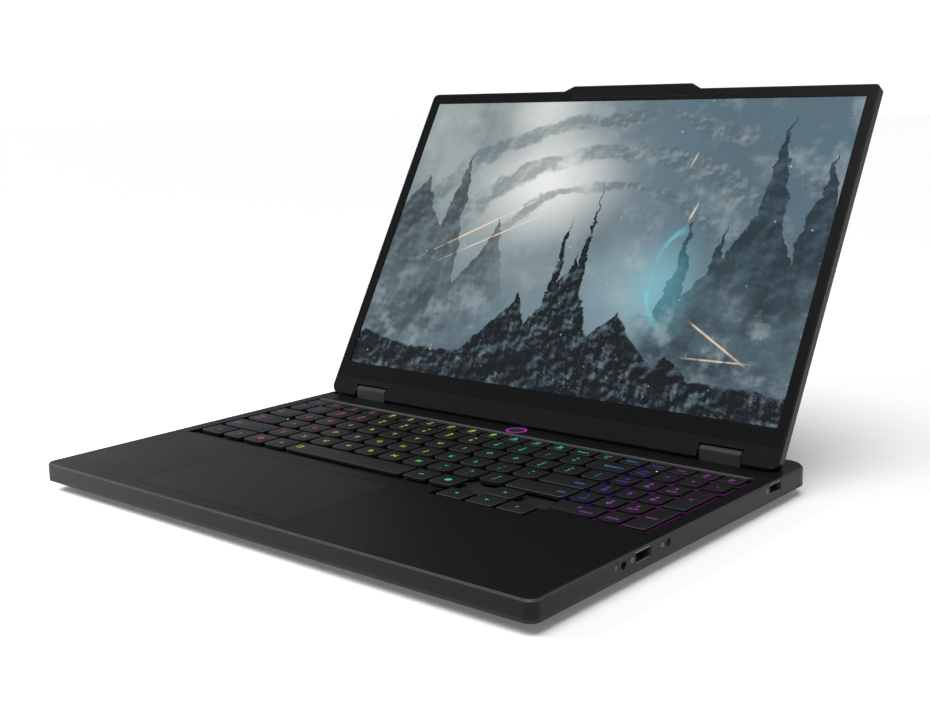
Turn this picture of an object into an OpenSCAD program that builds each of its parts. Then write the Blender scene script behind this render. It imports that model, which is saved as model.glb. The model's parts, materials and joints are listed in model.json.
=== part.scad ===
// Laptop computer, opened. Front faces -Y, up is +Z, and the feet stand on Z = 0.
// The lid's pieces are drawn flat in the lid's own frame and then turned to the open angle.

/* [Base] */
// Width of the base
base_w = 355.2; // [350:0.1:430]
// Depth of the base, front to rear
base_d = 260.1; // [250:0.1:320]
// Height of the deck above the table
deck_z = 16.5; // [16:0.1:20]
// Height of the rubber feet
foot_h = 1.8; // [1:0.1:3]
// Plan radius of the two front corners
front_r = 5.6; // [3:0.1:12]
// Plan radius of the two rear corners
rear_r = 13.3; // [6:0.1:16]
// Bevel along the top edge
bevel = 1; // [0.5:0.1:1.2]
// Height of the joint line between top and bottom covers
seam_z = 7.8; // [7:0.1:8.5]
// Height where the upright edge ends and the underside slopes in
edge_z = 6; // [5:0.1:6.5]
// How far the underside slopes in
slope_in = 12; // [6:0.5:16]
// Thickness of the side walls
wall = 2; // [1.5:0.1:2.4]
// Thickness of the deck
deck_t = 1.6; // [1.2:0.1:1.8]
// Thickness of the bottom cover
floor_t = 1.2; // [1:0.1:1.4]

/* [Keyboard] */
// Pitch of the letter keys
key_u = 19.07; // [18:0.01:19.1]
// Pitch of the key rows
row_u = 18.73; // [18:0.01:18.8]
// Gap between two keys of a row
key_gap = 2.57; // [1.5:0.01:3.5]
// Depth of a letter key, front to rear
key_d = 15.6; // [14:0.1:17]
// Depth of a function key
fn_d = 10.8; // [9:0.1:12]
// Height of a keycap
key_h = 2; // [1.6:0.1:2.2]
// Travel of a key
key_travel = 1.5; // [1:0.1:1.5]
// Width of a number pad key
pad_w = 12.95; // [12:0.05:14]
// Width of an arrow key
arrow_w = 17.1; // [15:0.1:17.5]
// Depth of an arrow key
arrow_d = 14.4; // [12:0.1:14.6]
// Distance from the hinge axis forward to the rear wall of the key well
well_back = 20.1; // [19:0.1:24]

/* [Touchpad and power button] */
// Width of the touchpad
touch_w = 122.4; // [90:0.1:150]
// Depth of the touchpad
touch_d = 76.5; // [50:0.1:80]
// Sideways place of the touchpad's centre
touch_x = -43.3; // [-60:0.1:0]
// Gap from the touchpad to the key well's ramp
touch_gap = 9.9; // [6:0.1:14]
// Radius of the power button
power_r = 5.4; // [4:0.1:6]
// Width of the light ring around the power button
ring_w = 1.2; // [0.8:0.1:1.4]
// Sideways place of the power button
power_x = -1.5; // [-20:0.1:20]

/* [Lid] */
// Angle between the lid and the deck as it stands
lid_open = 119.91; // [100:0.01:130]
// Distance from the rear edge of the base to the hinge axis
shelf_d = 26.6; // [24:0.1:34]
// Height of the hinge axis above the deck
axis_h = 4.66; // [4.5:0.01:5.5]
// Thickness of the lid
lid_t = 6.1; // [5.8:0.1:7]
// How far each side of the lid stands in from the side of the base
lid_inset = 4.65; // [3:0.05:8]
// Distance from the hinge axis down to the lid's lower edge
lid_below = 5.33; // [5:0.01:5.4]
// Thickness of the lid's rim and back
lid_wall = 1.2; // [0.8:0.1:1.4]
// Thickness of the screen bezel
bezel_t = 0.8; // [0.5:0.1:1]
// Width of the lit part of the screen
screen_w = 331.7; // [300:0.1:335]
// Height of the lit part of the screen
screen_h = 207.3; // [180:0.1:208]
// Height of the lit part's lower edge above the hinge axis
screen_up = 18.85; // [17:0.05:22]
// Height of the chin cover's upper edge above the hinge axis
chin_up = 7.85; // [6:0.05:9]
// Height of the camera bump above the lid's top edge
bump_h = 3.9; // [2:0.1:6]
// Width of the camera bump at its top
bump_w = 92.8; // [60:0.1:120]

/* [Hinges] */
// Distance of each hinge block's middle from the centre
hinge_x = 136.05; // [120:0.05:142]
// Length of a hinge block
hinge_w = 25.9; // [20:0.1:30]
// Half depth of a hinge block
hinge_hd = 3.1; // [3:0.05:3.2]
// Radius of a hinge block's rounded top
hinge_r = 3.44; // [3.3:0.01:3.5]
// Radius of a hinge pin
pin_r = 1.3; // [1:0.05:1.4]
// Height of the lid's notch above the hinge axis
notch_up = 3.75; // [3.7:0.05:4.2]

/* [Ports] */
// Width inside a USB-A socket
usb_w = 12.5; // [12:0.1:13]
// Height inside a USB-A socket
usb_h = 4.9; // [4.5:0.1:5.2]
// Depth of a side socket
port_d = 14; // [10:0.1:15]
// Depth of the side ports' middle line below the deck
port_drop = 3.75; // [3.7:0.05:4.2]
// Radius of the headset jack's bore
jack_r = 1.775; // [1.7:0.005:1.8]
// Radius of the shutter button
shutter_r = 1.7; // [1.2:0.05:1.8]

/* [Cooling] */
// Side of a fan housing
fan_w = 76; // [60:0.5:78]
// Radius of a fan rotor
rotor_r = 32; // [24:0.5:34]
// Number of blades on a rotor
blades = 29; // [15:1:41]
// Distance of each fan's middle from the centre
fan_x = 118; // [116:0.5:124]

/* [Hidden] */
$fn = 64;

eps = 0.01;
fit = 0.1;                     // clearance between a piece and the opening it sits in
bend_fn = 32;

// Places measured from the front edge of the base
axis_y = base_d - shelf_d;
axis_z = deck_z + axis_h;
side_x = base_w / 2;
in_x = side_x - wall;
deck_under = deck_z - deck_t;
floor_z = foot_h + floor_t;

// The trough under the lid clears the lid's lower edge as it turns
lid_half = side_x - lid_inset;
lid_hw = lid_t / 2;
sweep_cut = 0.8;
trough_r = norm([lid_below, lid_hw - sweep_cut]) + 0.55;
trough_x = lid_half + 1.3;
rib_z = axis_z - trough_r - 1.6;

// Lid heights, measured from the hinge axis
lid_top = axis_y + 0.15;
lid_turn = 180 - lid_open;
bump_top = lid_top + bump_h;
bump_foot = 7.2;               // how far each end of the bump slopes out
camera_x = 0.8;
camera_up = lid_top - 2.6;

// Depths in the lid, measured from its middle plane
panel_z = lid_hw - 0.1 - bezel_t - 0.2;
panel_t = 2.6;

// Hinge blocks: their lowest point below the axis, their wall, half the bracket's width
cover_low = rib_z - axis_z;
cover_wall = 0.7;
bracket_hw = hinge_w / 2 - 3.95;

// The display cable leaves the hinge between the bracket and the block's outer end
cable_r = 0.6;
cable_end = hinge_x + hinge_w / 2 - 2.45;

// The whole object's box stands centred on the origin
back_cut = 0.8;
rear_y = axis_y + bump_top * cos(lid_turn) + (lid_hw - back_cut) * sin(lid_turn);
front_y = -rear_y / 2;

// Keyboard block
// Widths are in letter-key pitches: a row is its first key, its letter keys, and a last key
// that fills the row up to the block's right edge
block_u = 14.265;
first_u = [0.814, 1.285, 1.567, 2.119];
letters = [12, 12, 11, 10];
function main_row(i) = concat([first_u[i]], [for (k = [1:letters[i]]) 1],
    [block_u - first_u[i] - letters[i]]);
bottom_row = [1.114, 1, 1, 1, 5, 1, 1];
ROWS = [main_row(0), main_row(1), main_row(2), main_row(3), bottom_row];
function total(v, n) = n <= 0 ? 0 : v[n - 1] + total(v, n - 1);
block_w = block_u * key_u - key_gap;
pad_u = pad_w + 2.38;
pad_n = 4;
pad_space = 2.9;
kb_w = block_w + pad_space + pad_n * pad_u - (pad_u - pad_w);
kb_left = -kb_w / 2 - 0.6;
block_right = kb_left + block_w;
pad_left = block_right + pad_space;
kb_right = kb_left + kb_w;
well_rear = axis_y - well_back;
fn_y = well_rear - 9.9;
row0_y = well_rear - 25.1;
last_y = row0_y - 4 * row_u;
arrow_u = arrow_w + 3.1;
up_y = last_y + 0.3;
low_y = up_y - arrow_d - 1.7;
well_l = kb_left - 1.8;
well_r = kb_right + 3;
well_front = last_y - key_d / 2 - 2.4;
arrow_front = low_y - arrow_d / 2 - 2.2;
arrow_l = block_right - arrow_w - 2 * arrow_u - 2.9;
arrow_r = block_right + 2.9;
ramp_d = 7;
ramp_h = 1.6;
key_z = deck_z - key_h;
cap_roof = 0.9;
plate_z = key_z - key_travel - 0.2;  // upper face of the keyboard plate
plate_t = 0.6;
rim = 1.6;
dome_h = key_h - cap_roof + 0.1;     // 0.1 below the roof of a pressed key

// Touchpad
touch_rear = well_front - ramp_d - touch_gap;
touch_t = 1.3;
touch_slot = 0.35;

// Power button
power_y = axis_y - 11.6;
ring_r = power_r + fit + ring_w;
power_lip = 0.6;

// Ports: places along the right side, front to rear
port_z = deck_z - port_drop;
jack_z = port_z - 0.5;
shutter_z = port_z - 0.1;
jack_y = well_front - 35.1;
usb_front_y = well_front - 18.5;
shutter_y = well_front + 3.1;
usb_rear_y = axis_y - 16.9;
usb_c_y = [well_front + 6, well_front + 22];
shell_t = 0.3;
socket_w = usb_w + 2 * (shell_t + fit);
short_d = 12;                  // depth of the rear side socket
socket_x = side_x - 0.3 - short_d - fit;
usb_c_w = 9;
usb_c_h = 3.2;
rear_z = port_z - 1.35;
// Rear sockets: place from the centre, inside width and height; Ethernet, HDMI, USB, USB, power
rear_ports = [[-36, 11.8, 5.6], [-20.3, 14.2, 4.8], [-4.2, 12.5, 4.9], [11.3, 12.5, 4.9], [29, 11, 4.7]];

// Cooling
fan_y = axis_y - fan_w / 2 - 1.5;
fan_z = floor_z + 0.5;
fan_h = 7.9;
pipe_z = floor_z + 6.4;
pipe_t = 2;
fin_y = base_d - wall - 2.8;
fin_z = floor_z + 2.7;
fin_d = 13;
fin_n = 28;

// Mainboard
board_z = floor_z + 2;
board_t = 1.2;
board_w = 76;

// Battery cells side by side, with a speaker box beyond each end
cell_n = 4;
cell_w = 67.5;
cell_gap = 2;
cells_w = cell_n * (cell_w + cell_gap) - cell_gap;
bay_front = 20.4;
speaker_x = 141;
speaker_w = 22;
speaker_y = 37;

// Screws through the bottom cover
screw_r = 1.25;
post_r = 2.6;
post_z = floor_z + 1.4;
flat_x = side_x - slope_in - 3.6;
screw_spots = concat([[touch_x - touch_w / 2 - 14, slope_in + 3.6], [56, slope_in + 3.6]],
    [for (s = [-1, 1]) each [
        [s * flat_x, slope_in + 3.6], [s * flat_x, jack_y - 9.6],
        [s * (in_x - port_d - 11.6), well_front - ramp_d - 2.2],
        [s * flat_x, base_d - 16], [s * 81, axis_y + 3.8]]]);

module in_base() {
    translate([0, front_y, 0]) children();
}

// The lid's frame: origin on the hinge axis, Y up the lid, Z out of the screen
module in_lid() {
    translate([0, front_y + axis_y, axis_z]) rotate([lid_turn, 0, 0]) children();
}

module both() {
    children();
    mirror([1, 0, 0]) children();
}

// Rectangle from one corner to the other with its own radius at the near and far corners
module plan(x1, y1, x2, y2, near_r, far_r) {
    union() {
        translate([x1, y1 + near_r]) square([x2 - x1, y2 - y1 - near_r - far_r]);
        translate([x1 + near_r, y1]) square([x2 - x1 - 2 * near_r, near_r + eps]);
        translate([x1 + far_r, y2 - far_r - eps]) square([x2 - x1 - 2 * far_r, far_r + eps]);
        for (x = [x1 + near_r, x2 - near_r]) translate([x, y1 + near_r]) circle(r = near_r);
        for (x = [x1 + far_r, x2 - far_r]) translate([x, y2 - far_r]) circle(r = far_r);
    }
}

module base_plan(g) {
    plan(-side_x + g, g, side_x - g, base_d - g, max(front_r - g, 0.6), max(rear_r - g, 0.8));
}

module slab(z, h) {
    translate([0, 0, z]) linear_extrude(height = h) children();
}

module block(x1, y1, z1, x2, y2, z2) {
    translate([x1, y1, z1]) cube([x2 - x1, y2 - y1, z2 - z1]);
}

// Cylinder along X, starting at x
module rod_x(x, y, z, r, len) {
    translate([x, y, z]) rotate([0, 90, 0]) cylinder(r = r, h = len);
}

// ---- base ----

// The key well, grown by g; its rear right corner is filled in beside the rear USB socket
module well_plan(g) {
    corner_g = min(g, 0.8);
    difference() {
        union() {
            translate([well_l - g, well_front - g])
                square([well_r - well_l + 2 * g, well_rear - well_front + 2 * g]);
            translate([arrow_l - g, arrow_front - g])
                square([arrow_r - arrow_l + 2 * g, well_rear - arrow_front + 2 * g]);
        }
        translate([socket_x - 0.9 + corner_g, usb_rear_y - socket_w / 2 - 0.9 + corner_g])
            square([20, 20]);
    }
}

module posts_plan(r) {
    for (p = screw_spots) translate(p) circle(r = r);
}

module vent_plan(r, n) {
    intersection() {
        circle(r = r);
        union() for (i = [-n:n]) translate([-r, i * 4.4 - 1]) square([2 * r, 2]);
    }
}

// Opening for a socket in the right wall, cut from inside
module side_cut(y, w, h, x = in_x - port_d - fit) {
    block(x, y - w / 2, port_z - h / 2, side_x + 1, y + w / 2, port_z + h / 2);
}

module top_cover() {
    color([0.17, 0.17, 0.18]) in_base() difference() {
        union() {
            difference() {
                hull() {
                    slab(seam_z, deck_z - bevel - seam_z) base_plan(0, $fn = bend_fn);
                    slab(deck_z - bevel, bevel) base_plan(bevel, $fn = bend_fn);
                }
                // below the key well's rim
                slab(seam_z - 1, plate_z - seam_z + 1) base_plan(wall);
                // between the rim and the deck
                slab(plate_z - 1, deck_under - plate_z + 1) difference() {
                    base_plan(wall);
                    well_plan(rim);
                }
            }
            // rib that carries the trough
            block(-in_x - eps, axis_y - 7.2, rib_z, in_x + eps, axis_y + 6.8, deck_under + eps);
            // the deck is thicker under the ramp
            block(well_l - rim, well_front - ramp_d - 1, deck_under - ramp_h,
                arrow_l, well_front - rim + eps, deck_under + eps);
            slab(post_z, deck_under - post_z + eps) posts_plan(post_r);
        }
        slab(plate_z - 2, deck_z) well_plan(0);
        // ramp down to the keys, left of the arrow keys
        translate([well_l, 0, 0]) rotate([90, 0, 90])
            linear_extrude(height = arrow_l - well_l + eps) polygon([
                [well_front - ramp_d, deck_z], [well_front + eps, deck_z - ramp_h],
                [well_front + eps, deck_z + 1], [well_front - ramp_d, deck_z + 1]]);
        // trough under the lid
        rod_x(-trough_x, axis_y, axis_z, trough_r, 2 * trough_x);
        // openings for the hinge blocks
        both() block(hinge_x - hinge_w / 2 - fit, axis_y - hinge_hd - fit, rib_z - 1,
            hinge_x + hinge_w / 2 + fit, axis_y + hinge_hd + fit, deck_z + 1);
        // touchpad
        slab(deck_under - 1, 4) plan(touch_x - touch_w / 2 - touch_slot,
            touch_rear - touch_d - touch_slot, touch_x + touch_w / 2 + touch_slot,
            touch_rear + touch_slot, 1.8, 1.8);
        translate([power_x, power_y, deck_under - 1]) cylinder(r = ring_r + 0.05, h = 4);
        translate([power_x, power_y, rib_z - 1])
            cylinder(r = power_r + power_lip + 0.2, h = deck_under + 1 - rib_z);
        // side sockets
        side_cut(usb_front_y, socket_w, usb_h + 2 * (shell_t + fit));
        side_cut(usb_rear_y, socket_w, usb_h + 2 * (shell_t + fit), socket_x);
        for (y = usb_c_y) mirror([1, 0, 0]) side_cut(y, usb_c_w + 2 * fit, usb_c_h + 2 * fit);
        rod_x(in_x - 1, jack_y, jack_z, 2.05, wall + 2);
        rod_x(in_x - 1, shutter_y, shutter_z, shutter_r + 0.3, wall + 2);
        // rear sockets and air outlets
        for (p = rear_ports) block(p[0] - p[1] / 2 - shell_t - fit, base_d - wall - 1,
            rear_z - p[2] / 2 - shell_t - fit, p[0] + p[1] / 2 + shell_t + fit, base_d + 1,
            rear_z + p[2] / 2 + shell_t + fit);
        both() for (x = [90:4:162])
            block(x, base_d - wall - 1, seam_z + 0.8, x + 2.6, base_d + 1, deck_z - 3);
        for (p = screw_spots) translate([p[0], p[1], post_z - 1])
            cylinder(r = screw_r + 0.05, h = 7);
    }
}

module bottom_cover() {
    color([0.09, 0.09, 0.1]) in_base() difference() {
        union() {
            difference() {
                hull() {
                    slab(foot_h, eps) base_plan(slope_in, $fn = bend_fn);
                    slab(edge_z, seam_z - edge_z) base_plan(0, $fn = bend_fn);
                }
                hull() {
                    slab(floor_z, eps) base_plan(slope_in + 1, $fn = bend_fn);
                    slab(edge_z + 0.4, seam_z) base_plan(1.5, $fn = bend_fn);
                }
            }
            slab(foot_h + 0.4, post_z - foot_h - 0.4) intersection() {
                posts_plan(4.2);
                base_plan(2.2);
            }
        }
        slab(foot_h - 1, 1 + floor_t) posts_plan(2.6);
        slab(foot_h - 1, 6) posts_plan(screw_r + 0.2);
        both() translate([fan_x, fan_y, foot_h - 1]) linear_extrude(height = 4)
            vent_plan(rotor_r, 6);
        // speaker outlets
        both() for (i = [0:5]) translate([speaker_x + 3 + i * 3, speaker_y, 0])
            block(0, -9, foot_h - 1, 1.4, 9, floor_z + 1);
    }
}

module rubber_feet() {
    color([0.05, 0.05, 0.05]) in_base() {
        slab(0, foot_h) plan(-72, base_d - 29, 72, base_d - 19, 4.9, 4.9);
        both() {
            slab(0, foot_h) plan(90, base_d - 29, 150, base_d - 19, 4.9, 4.9);
            slab(0, foot_h) plan(72, 20, 138, 29, 4.4, 4.4);
        }
    }
}

module bottom_screws() {
    color([0.3, 0.3, 0.31]) in_base() for (p = screw_spots) translate([p[0], p[1], 0])
        difference() {
            union() {
                translate([0, 0, foot_h + 0.1]) cylinder(r = 2.3, h = floor_t - 0.1);
                translate([0, 0, floor_z - eps]) cylinder(r = screw_r, h = 7);
            }
            translate([0, 0, foot_h]) cylinder(r = 1, h = 0.8, $fn = 6);
        }
}

// ---- keyboard ----

module keyboard_plate() {
    color([0.06, 0.06, 0.07]) in_base() difference() {
        slab(plate_z - plate_t, plate_t) well_plan(rim);
        for (x = [-1, 1]) for (i = [0:2])
            translate([x * (block_w / 2 - 20), last_y + row_u / 2 + i * 1.5 * row_u, 0])
                cylinder(r = 1, h = deck_z);
    }
}

module light_guide() {
    color([0.9, 0.9, 0.95]) in_base() slab(plate_z - plate_t - 0.4, 0.4) well_plan(0);
}

// Keycap outline: small radii at the rear, larger ones at the front
module cap_plan(w, d, near_r) {
    plan(0, 0, w, d, near_r, 1);
}

// A keycap with a hollow underside; x, y are its near left corner
module keycap(x, y, w, d, near_r = 3) {
    skirt = 1.9;
    translate([x, y, key_z]) difference() {
        linear_extrude(height = key_h) cap_plan(w, d, near_r);
        translate([skirt, skirt, -1])
            cube([w - 2 * skirt, d - 2 * skirt, 1 + key_h - cap_roof]);
    }
}

module dome(x, y) {
    translate([x, y, plate_z]) cylinder(r = 2.4, h = dome_h);
}

function row_y(i) = row0_y - i * row_u - key_d / 2;
function key_x(row, i) = kb_left + total(ROWS[row], i) * key_u;
function key_w(row, i) = ROWS[row][i] * key_u - key_gap;
function pad_x(i) = pad_left + i * pad_u;
function fn_x(i) = i < 16 ? kb_left + i * block_u * key_u / 16 : pad_x(i - 16);
function fn_w(i) = i < 16 ? block_u * key_u / 16 - key_gap : pad_w;
function arrow_x(i) = block_right - arrow_w - (2 - i) * arrow_u;

module row_keys(row, a, b) {
    for (i = [a:b]) keycap(key_x(row, i), row_y(row), key_w(row, i), key_d);
}

module fn_keys(a, b) {
    for (i = [a:b]) keycap(fn_x(i), fn_y - fn_d / 2, fn_w(i), fn_d, 1.6);
}

module pad_key(i, row, cols = 1, rows = 1) {
    keycap(pad_x(i), row_y(row + rows - 1), pad_w + (cols - 1) * pad_u,
        key_d + (rows - 1) * row_u, 2.2);
}

module arrow_key(i, y) {
    keycap(arrow_x(i), y - arrow_d / 2, arrow_w, arrow_d, 1.2);
}

module dome_sheet() {
    color([0.8, 0.8, 0.8]) in_base() union() {
        slab(plate_z, 0.1) well_plan(-1);
        for (r = [0:4]) for (i = [0:len(ROWS[r]) - 1])
            dome(key_x(r, i) + key_w(r, i) / 2, row_y(r) + key_d / 2);
        for (i = [0:19]) dome(fn_x(i) + fn_w(i) / 2, fn_y);
        for (r = [0:3]) for (i = [0:2]) dome(pad_x(i) + pad_w / 2, row_y(r) + key_d / 2);
        dome(pad_x(3) + pad_w / 2, row_y(0) + key_d / 2);
        for (r = [1, 3]) dome(pad_x(3) + pad_w / 2, row_y(r) - row_u / 2 + key_d / 2);
        dome(pad_x(1) - 1.2, row_y(4) + key_d / 2);
        dome(pad_x(2) + pad_w / 2, row_y(4) + key_d / 2);
        dome(arrow_x(1) + arrow_w / 2, up_y);
        for (i = [0:2]) dome(arrow_x(i) + arrow_w / 2, low_y);
    }
}

module escape_key() { key_colour() fn_keys(0, 0); }
module function_keys() { key_colour() fn_keys(1, 19); }
module number_keys() { key_colour() row_keys(0, 0, 12); }
module backspace_key() { key_colour() row_keys(0, 13, 13); }
module upper_letter_keys() { key_colour() row_keys(1, 0, 13); }
module home_letter_keys() { key_colour() row_keys(2, 0, 11); }
module enter_key() { key_colour() row_keys(2, 12, 12); }
module left_shift_key() { key_colour() row_keys(3, 0, 0); }
module lower_letter_keys() { key_colour() row_keys(3, 1, 10); }
module right_shift_key() { key_colour() row_keys(3, 11, 11); }
module space_bar() { key_colour() row_keys(4, 4, 4); }
module up_arrow_key() { key_colour() arrow_key(1, up_y); }
module left_arrow_key() { key_colour() arrow_key(0, low_y); }
module down_arrow_key() { key_colour() arrow_key(1, low_y); }
module right_arrow_key() { key_colour() arrow_key(2, low_y); }
module pad_plus_key() { key_colour() pad_key(3, 1, 1, 2); }
module pad_enter_key() { key_colour() pad_key(3, 3, 1, 2); }

module modifier_keys() {
    key_colour() {
        row_keys(4, 0, 3);
        row_keys(4, 5, 6);
    }
}

module number_pad_keys() {
    key_colour() {
        for (i = [0:3]) pad_key(i, 0);
        for (r = [1:3]) for (i = [0:2]) pad_key(i, r);
        pad_key(0, 4, 2);
        pad_key(2, 4);
    }
}

module key_colour() {
    color([0.13, 0.13, 0.14]) in_base() children();
}

// ---- touchpad, buttons ----

module touchpad() {
    color([0.16, 0.16, 0.17]) in_base() slab(deck_z - touch_t, touch_t)
        plan(touch_x - touch_w / 2, touch_rear - touch_d, touch_x + touch_w / 2, touch_rear, 1.5, 1.5);
}

module touchpad_bracket() {
    g = 7;
    color([0.5, 0.5, 0.52]) in_base() {
        difference() {
            slab(deck_under - 1.5, 1.5) plan(touch_x - touch_w / 2 - g, touch_rear - touch_d - 2,
                touch_x + touch_w / 2 + g, touch_rear + g, 1, 1);
            slab(deck_under - 0.8, 2) plan(touch_x - touch_w / 2 - 1, touch_rear - touch_d - 1,
                touch_x + touch_w / 2 + 1, touch_rear + 1, 1, 1);
        }
        translate([touch_x, touch_rear - touch_d + 8, deck_under - 0.8 - eps])
            cylinder(r = 3, h = 0.5);
    }
}

module power_button() {
    color([0.1, 0.1, 0.11]) in_base() translate([power_x, power_y, 0]) union() {
        translate([0, 0, deck_z - 2.2]) cylinder(r = power_r, h = 2.1);
        translate([0, 0, deck_z - 2.6]) cylinder(r = power_r + power_lip, h = 0.5);
    }
}

module power_light_ring() {
    color([0.8, 0.1, 0.85]) in_base() translate([power_x, power_y, 0]) difference() {
        translate([0, 0, deck_under]) cylinder(r = ring_r, h = deck_t);
        translate([0, 0, deck_under - 1]) cylinder(r = power_r + fit, h = deck_t + 2);
    }
}

// The power button's switch on its small board, and the shutter button's switch
module button_switches() {
    color([0.1, 0.3, 0.15]) in_base() {
        translate([power_x, power_y, 0]) union() {
            block(-9, -6, deck_z - 5.6, 9, 6, deck_z - 4.8);
            block(-3, -3, deck_z - 4.8 - eps, 3, 3, deck_z - 3.6);
            translate([0, 0, deck_z - 3.6 - eps]) cylinder(r = 1.4, h = 0.4);
        }
        block(in_x - 5.3, shutter_y - 3, shutter_z - 3.1, in_x - 2.8, shutter_y + 3, shutter_z + 1.7);
    }
}

module shutter_button() {
    color([0.08, 0.08, 0.08]) in_base() union() {
        rod_x(in_x - 2.2, shutter_y, shutter_z, shutter_r, wall + 1.8);
        rod_x(in_x - 2.2, shutter_y, shutter_z, shutter_r + 0.4, 0.8);
    }
}

// ---- electronics ----

module mainboard() {
    color([0.05, 0.22, 0.12]) in_base() difference() {
        slab(board_z, board_t) union() {
            plan(-board_w, arrow_front + 4, board_w, base_d - 22, 2, 2);
            plan(-74, base_d - 40, 74, base_d - 14, 2, 2);
        }
        for (x = [-66, 66]) for (y = [arrow_front + 10, axis_y - 2])
            translate([x, y, 0]) cylinder(r = 1.6, h = 20);
    }
}

module processors() {
    color([0.45, 0.46, 0.5]) in_base() {
        for (x = [-34, 34]) union() {
            block(x - 17, fan_y - 26, board_z + board_t, x + 17, fan_y + 8, board_z + board_t + 1.2);
            block(x - 8, fan_y - 18, board_z + board_t + 1.2 - eps, x + 8, fan_y, pipe_z - 1.2);
        }
    }
}

module memory_modules() {
    color([0.08, 0.3, 0.18]) in_base() for (y = [0, 1]) translate([-66, arrow_front + 14 + y * 17, 0])
        union() {
            block(0, 0, board_z + board_t, 69.6, 4, board_z + board_t + 3.2);
            block(0, 3, board_z + board_t + 1.4, 69.6, 15, board_z + board_t + 2.6);
            for (i = [0:3]) block(3 + i * 17, 5, board_z + board_t + 2.6 - eps,
                15 + i * 17, 13, board_z + board_t + 3.6);
        }
}

module solid_state_drive() {
    color([0.12, 0.12, 0.14]) in_base() translate([10, arrow_front + 14, 0]) union() {
        block(0, 0, board_z + board_t, 5, 22, board_z + board_t + 3);
        block(4, 0, board_z + board_t + 1.2, 60, 22, board_z + board_t + 2);
        block(10, 3, board_z + board_t + 2 - eps, 30, 19, board_z + board_t + 3.2);
        block(34, 3, board_z + board_t + 2 - eps, 54, 19, board_z + board_t + 3.2);
    }
}

module wireless_card() {
    color([0.1, 0.12, 0.3]) in_base() translate([12, arrow_front + 42, 0]) union() {
        block(0, 0, board_z + board_t, 4, 22, board_z + board_t + 2.4);
        block(3, 0, board_z + board_t + 1, 30, 22, board_z + board_t + 1.8);
        block(6, 3, board_z + board_t + 1.8 - eps, 24, 19, board_z + board_t + 3);
    }
}

module io_boards() {
    color([0.05, 0.22, 0.12]) in_base() {
        z = port_z - usb_h / 2 - shell_t - 1;
        block(in_x - port_d - 7, jack_y - 6, z, in_x - 0.6, usb_front_y + 9, z + 1);
        block(socket_x, usb_rear_y - 8, z, in_x - 0.6, usb_rear_y + 8, z + 1);
        mirror([1, 0, 0]) block(in_x - port_d - 9, usb_c_y[0] - 8, z,
            in_x - 0.6, usb_c_y[1] + 8, z + 1);
    }
}

module battery() {
    color([0.07, 0.07, 0.08]) in_base() {
        for (i = [0:cell_n - 1]) translate([i * (cell_w + cell_gap) - cells_w / 2, 0, 0])
            slab(floor_z + 0.2, 7.6) plan(0, bay_front, cell_w, arrow_front - 12, 2, 2);
        block(-cells_w / 2, arrow_front - 12, floor_z + 2,
            cells_w / 2, arrow_front - 8, floor_z + 4);
    }
}

module speakers() {
    color([0.1, 0.1, 0.1]) in_base() both() difference() {
        slab(floor_z + 0.2, 7.4)
            plan(speaker_x, bay_front, speaker_x + speaker_w, jack_y - 14.4, 3, 3);
        translate([speaker_x + speaker_w / 2, speaker_y, floor_z - 1]) cylinder(r = 7, h = 3.4);
    }
}

// ---- cooling ----

module fan_housings() {
    h = fan_w / 2;
    color([0.12, 0.12, 0.13]) in_base() both() translate([fan_x, fan_y, fan_z]) union() {
        difference() {
            slab(0, fan_h) plan(-h, -h, h, h, 6, 1);
            slab(0.8, fan_h - 1.6) plan(-h + 1, -h + 1, h - 1, h + 2, 5, 1);
            difference() {
                translate([0, 0, -1]) cylinder(r = rotor_r - 6, h = fan_h + 2);
                translate([0, 0, -2]) cylinder(r = 9, h = 3);
                for (a = [0:120:240]) rotate([0, 0, a]) block(8, -1.5, -2, rotor_r, 1.5, 0.8);
            }
        }
        cylinder(r = 1.2, h = fan_h - 1.6);
    }
}

module fan_rotor() {
    z = 1.3;
    difference() {
        union() {
            translate([0, 0, z]) cylinder(r = 11, h = fan_h - 2.6);
            translate([0, 0, z + 2.2]) difference() {
                cylinder(r = rotor_r - 3, h = 0.6);
                translate([0, 0, -1]) cylinder(r = rotor_r - 5, h = 3);
            }
            for (i = [0:blades - 1]) rotate([0, 0, i * 360 / blades]) translate([10, 0, z + 0.4])
                rotate([0, 0, 18]) cube([rotor_r - 11, 0.7, fan_h - 3.4]);
        }
        translate([0, 0, z - 1]) cylinder(r = 1.3, h = fan_h - 1.6 - z + 1.2);
    }
}

module left_fan_rotor() {
    color([0.1, 0.1, 0.1]) in_base() translate([-fan_x, fan_y, fan_z]) fan_rotor();
}

module right_fan_rotor() {
    color([0.1, 0.1, 0.1]) in_base() translate([fan_x, fan_y, fan_z]) fan_rotor();
}

module fin_stack() {
    pitch = 2.4;
    w = fin_n * pitch + 0.4;
    union() {
        for (i = [0:fin_n]) block(i * pitch, 0, fin_z, i * pitch + 0.4, fin_d, pipe_z - 0.2);
        block(0, 0, fin_z, w, fin_d, fin_z + 0.4);
        block(0, 0, pipe_z - 0.4, w, fin_d, pipe_z - eps);
    }
}

module fin_stacks() {
    color([0.75, 0.45, 0.3]) in_base() both()
        translate([88, fin_y - fin_d, 0]) fin_stack();
}

module heat_sink() {
    color([0.72, 0.42, 0.27]) in_base() union() {
        slab(pipe_z - 1.2, 1.2) plan(-60, fan_y - 30, 60, fan_y + 26, 3, 3);
        both() for (i = [0, 1]) slab(pipe_z - eps, pipe_t) union() {
            x = 46 + i * 9;
            y = fin_y - 4 - i * 6;
            plan(x, fan_y - 22, x + 6, y, 2.9, 0.5);
            plan(x, y - 5, 154, y, 2.4, 2.4);
        }
    }
}

// ---- sockets ----

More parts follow.
